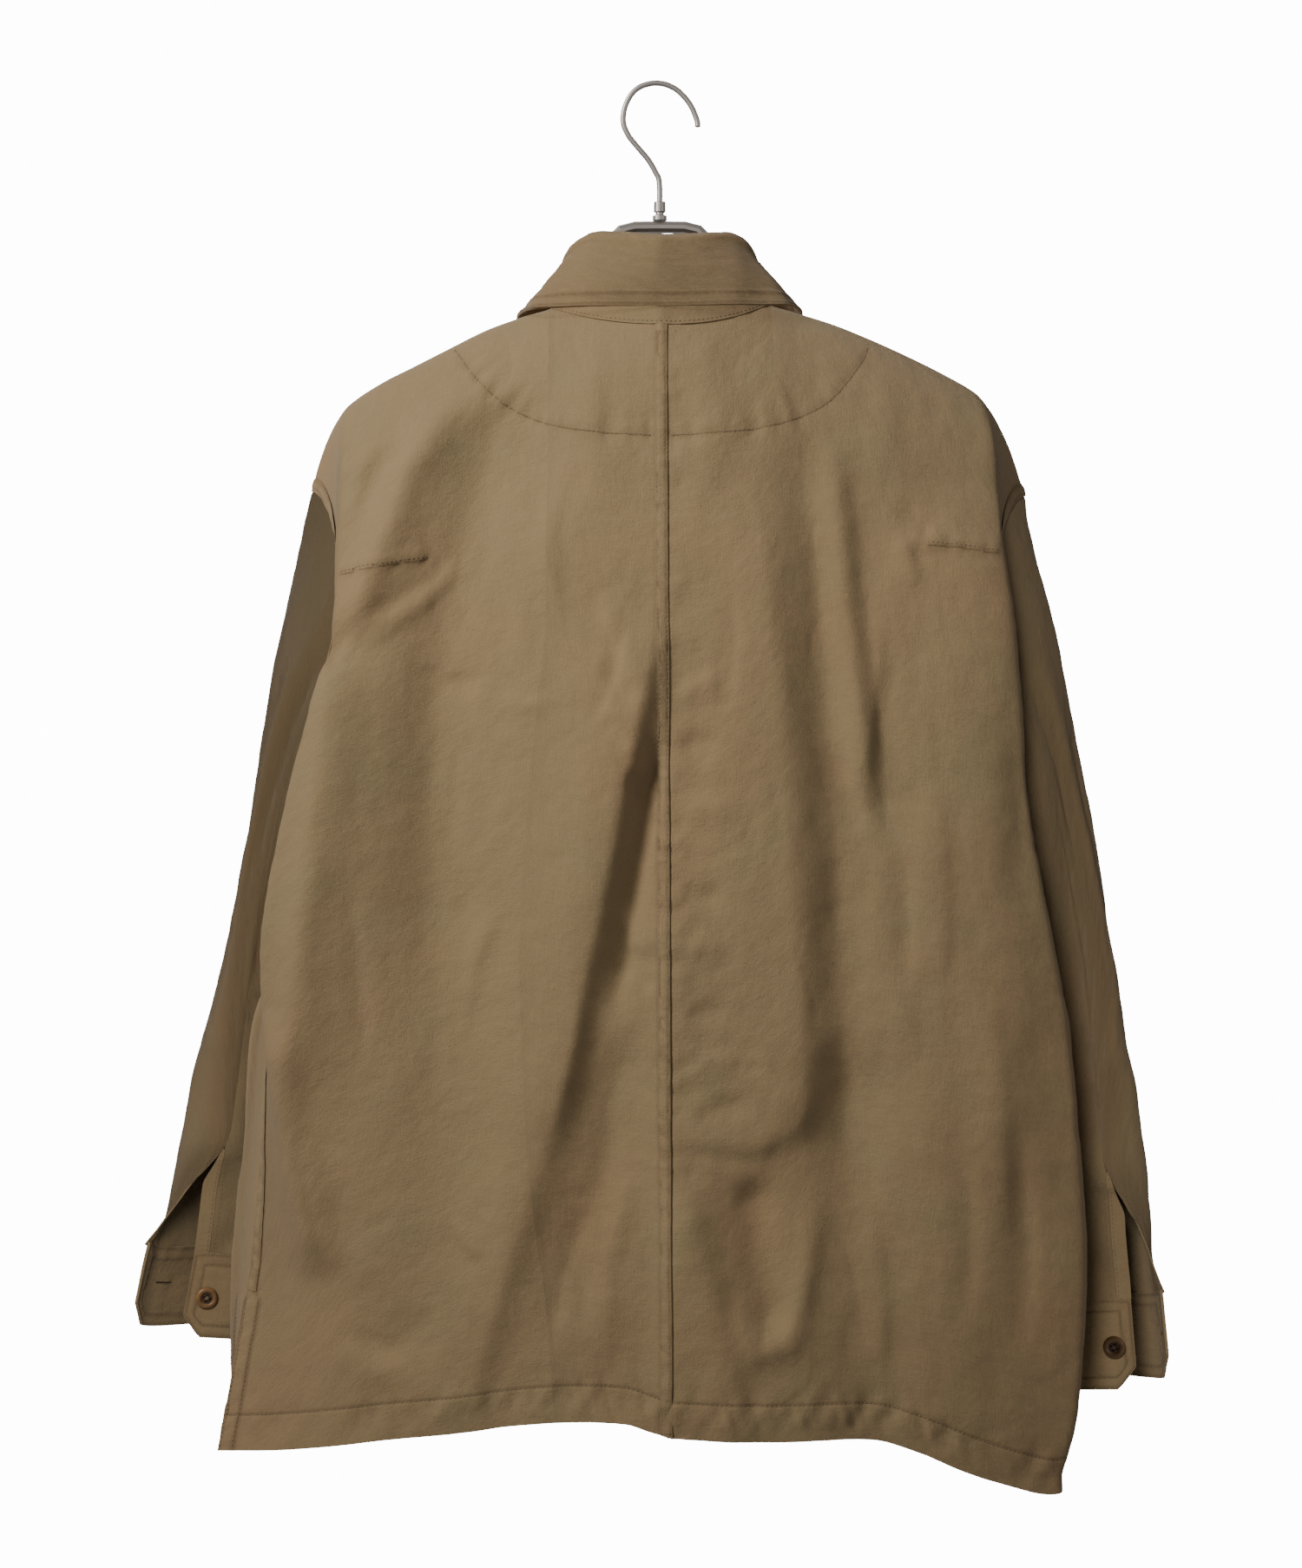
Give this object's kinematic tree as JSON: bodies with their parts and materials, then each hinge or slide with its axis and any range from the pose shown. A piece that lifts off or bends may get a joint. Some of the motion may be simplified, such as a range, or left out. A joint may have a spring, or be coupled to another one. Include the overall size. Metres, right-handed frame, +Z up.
{
  "type": "shirt jacket on hanger",
  "caption": "Boxy long-sleeved cotton shirt jacket with a pointed collar, side vents and open buttoned cuffs, hanging on a bent metal hanger with a wire hook.",
  "frame": {"origin": "the inside top of the hanger's hook, where it rests on a rail", "axes": "+Z up, +X towards the wearer's left side, +Y out of the jacket's back"},
  "size_m": [0.6765, 0.1808, 0.9042],
  "materials": {
    "khaki_cotton": "matt plain-woven cotton, khaki, double stitched in the same colour",
    "horn_button": "dark brown horn look with a lighter rim, satin",
    "hanger_metal": "brushed, slightly warm"
  },
  "bodies": {
    "root": {"back_left": "khaki_cotton", "back_right": "khaki_cotton", "front_left": "khaki_cotton", "front_right": "khaki_cotton", "collar_stand": "khaki_cotton", "collar_leaf": "khaki_cotton", "sleeve_left": "khaki_cotton", "slit_strip_left": "khaki_cotton", "cuff_left": "khaki_cotton", "sleeve_right": "khaki_cotton", "slit_strip_right": "khaki_cotton", "cuff_right": "khaki_cotton", "cuff_button_left": "horn_button", "cuff_button_right": "horn_button", "front_button_1": "horn_button", "front_button_2": "horn_button", "front_button_3": "horn_button", "front_button_4": "horn_button", "front_button_5": "horn_button", "front_button_6": "horn_button", "hanger_bar": "hanger_metal", "hanger_hook": "hanger_metal", "hanger_ferrule": "hanger_metal"}
  },
  "joints": []
}
